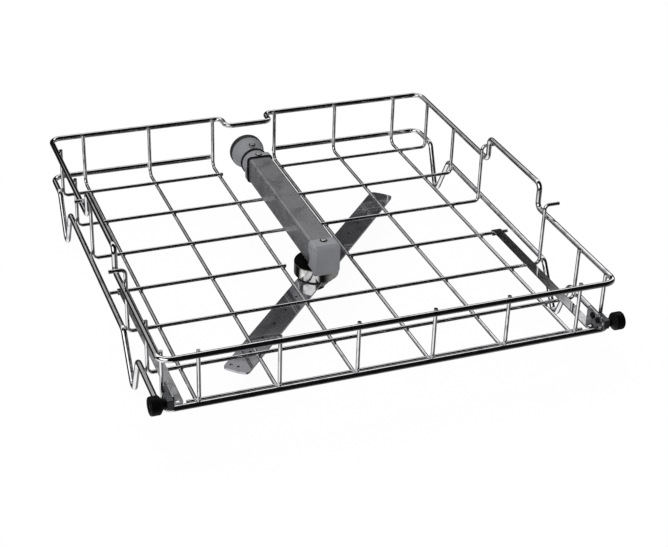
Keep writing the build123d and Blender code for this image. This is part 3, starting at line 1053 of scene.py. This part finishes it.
@dataclass
class Studio:
    """Floor, light and camera.

    Two white panels hang behind the basket. Metal mirrors them, a lamp at the front left, a
    white sheet low at the left, a dim card low at the right, and the dark of the room. Matt
    surfaces get the panels and an even fill, with more of it from the left.
    """

    azimuth_deg: float = -21.531
    elevation_deg: float = 29.868
    roll_deg: float = 1.949
    distance_mm: float = 1601.849
    lens_mm: float = 80.294
    sensor_mm: float = 36.0
    clip_m: float = 50.0
    target_mm: Triple = (0.219, -69.925, 55.523)
    floor_m: float = 14.0
    floor_colour: str = "#fbfbfb"
    floor_glow: float = 0.95
    right_panel: Card = Card((0.15, -0.684, 1.0), 0.07, 0.015, 1.25)
    left_panel: Card = Card((-0.391, -0.547, 1.0), 0.0, 0.015, 0.45)
    behind: Card = Card((0.0, 1.0, 0.0), 0.34, 0.07)
    sheet: Card = Card(
        (-0.3, -0.17, -0.94), 0.67, 0.06, 1.1, limit=Card((-1.0, 0.0, 0.0), -0.1, 0.12),
    )
    front_lamp: Card = Card((-0.709, -0.497, 0.5), 0.88, 0.03, 1.6)
    low_card: Card = Card(
        (0.75, 0.45, -0.35), 0.35, 0.35, 0.24, limit=Card((0.0, 0.0, -1.0), 0.0, 0.12),
    )
    dark: float = 0.006
    left_fill: Card = Card((-0.9, -0.05, 0.43), 0.1, 0.6, 0.62)
    fill: float = 0.44

    def floor(self) -> None:
        """Lay the pale floor, which metal doesn't mirror: it sees the studio's cards there."""
        deselect()
        bpy.ops.mesh.primitive_plane_add(size=self.floor_m)
        ground = bpy.context.active_object
        ground.name = "floor"
        ground.visible_glossy = False
        paper = bpy.data.materials.new("matt_white_paper")
        paper.use_nodes = True
        tree = paper.node_tree
        shader = tree.nodes["Principled BSDF"]
        shader.inputs["Base Color"].default_value = linear(self.floor_colour)
        shader.inputs["Roughness"].default_value = 1.0
        shader.inputs["Specular IOR Level"].default_value = 0.0
        seen = add(tree, "ShaderNodeLightPath").outputs["Is Camera Ray"]
        share = add(tree, "ShaderNodeMath", {
            0: seen, 1: self.floor_glow,
        }, operation="MULTIPLY").outputs["Value"]
        white = add(tree, "ShaderNodeEmission", {"Strength": 1.0}).outputs["Emission"]
        mixed = add(tree, "ShaderNodeMixShader", {
            0: share, 1: shader.outputs["BSDF"], 2: white,
        }).outputs["Shader"]
        tree.links.new(mixed, tree.nodes["Material Output"].inputs["Surface"])
        ground.data.materials.append(paper)

    def light(self) -> None:
        """Light the scene from the world, which the camera itself sees as plain white."""
        world = bpy.data.worlds.new("studio")
        bpy.context.scene.world = world
        world.use_nodes = True
        tree = world.node_tree
        way = add(tree, "ShaderNodeTexCoord").outputs["Generated"]
        rays = add(tree, "ShaderNodeLightPath")
        right, left = (
            add(tree, "ShaderNodeMath", {
                0: panel.share(tree, way), 1: panel.strength,
            }, operation="MULTIPLY").outputs["Value"]
            for panel in (self.right_panel, self.left_panel)
        )
        panels = add(tree, "ShaderNodeMath", {0: right, 1: left}, operation="MAXIMUM")
        lit = add(tree, "ShaderNodeMath", {
            0: panels.outputs["Value"], 1: self.behind.share(tree, way),
        }, operation="MULTIPLY").outputs["Value"]
        mirrored = self.dark
        for card in (self.sheet, self.front_lamp, self.low_card):
            mirrored = add(tree, "ShaderNodeMath", {
                0: card.share(tree, way), 1: card.strength, 2: mirrored,
            }, operation="MULTIPLY_ADD").outputs["Value"]
        fill = add(tree, "ShaderNodeMath", {
            0: self.left_fill.share(tree, way), 1: self.left_fill.strength, 2: self.fill,
        }, operation="MULTIPLY_ADD").outputs["Value"]
        base = add(tree, "ShaderNodeMix", {
            MIX_SHARE: rays.outputs["Is Glossy Ray"], MIX_FROM: fill, MIX_TO: mirrored,
        })
        shown = add(tree, "ShaderNodeMath", {
            0: lit, 1: base.outputs[MIXED],
        }, operation="ADD").outputs["Value"]
        strength = add(tree, "ShaderNodeMix", {
            MIX_SHARE: rays.outputs["Is Camera Ray"], MIX_FROM: shown, MIX_TO: 1.0,
        })
        backdrop = tree.nodes["Background"]
        backdrop.inputs["Color"].default_value = (1.0, 1.0, 1.0, 1.0)
        tree.links.new(strength.outputs[MIXED], backdrop.inputs["Strength"])

    def camera(self) -> None:
        """Set the camera at the photograph's angle."""
        turn = math.radians(self.azimuth_deg)
        rise = math.radians(self.elevation_deg)
        roll = math.radians(self.roll_deg)
        back = Vector((
            math.sin(turn) * math.cos(rise), -math.cos(turn) * math.cos(rise), math.sin(rise),
        ))
        right = Vector((math.cos(turn), math.sin(turn), 0.0))
        up = back.cross(right)
        across = math.cos(roll) * right + math.sin(roll) * up
        upward = back.cross(across)
        lens = bpy.data.cameras.new("camera")
        lens.lens = self.lens_mm
        lens.sensor_width = self.sensor_mm
        lens.clip_end = self.clip_m
        eye = bpy.data.objects.new("camera", lens)
        bpy.context.scene.collection.objects.link(eye)
        place = Vector(self.target_mm) * MM + back * self.distance_mm * MM
        turned = Matrix((across, upward, back)).transposed().to_4x4()
        eye.matrix_world = Matrix.Translation(place) @ turned
        bpy.context.scene.camera = eye

    def build(self) -> None:
        """Set up the whole studio."""
        bpy.context.scene.view_settings.view_transform = "Standard"
        self.floor()
        self.light()
        self.camera()


def main() -> None:
    """Build and dress every sub-assembly, then set up the studio."""
    logging.basicConfig(level=logging.INFO, format="%(message)s")
    for scrap in [o for o in bpy.context.scene.objects if o.name in ("Cube", "Light", "Camera")]:
        bpy.data.objects.remove(scrap)
    paint = Paint()
    for part in (WireWork(), RollerSet(), FeedTube(), SprayArm()):
        part.build(paint)
    Studio().build()


if __name__ == "__main__":
    main()
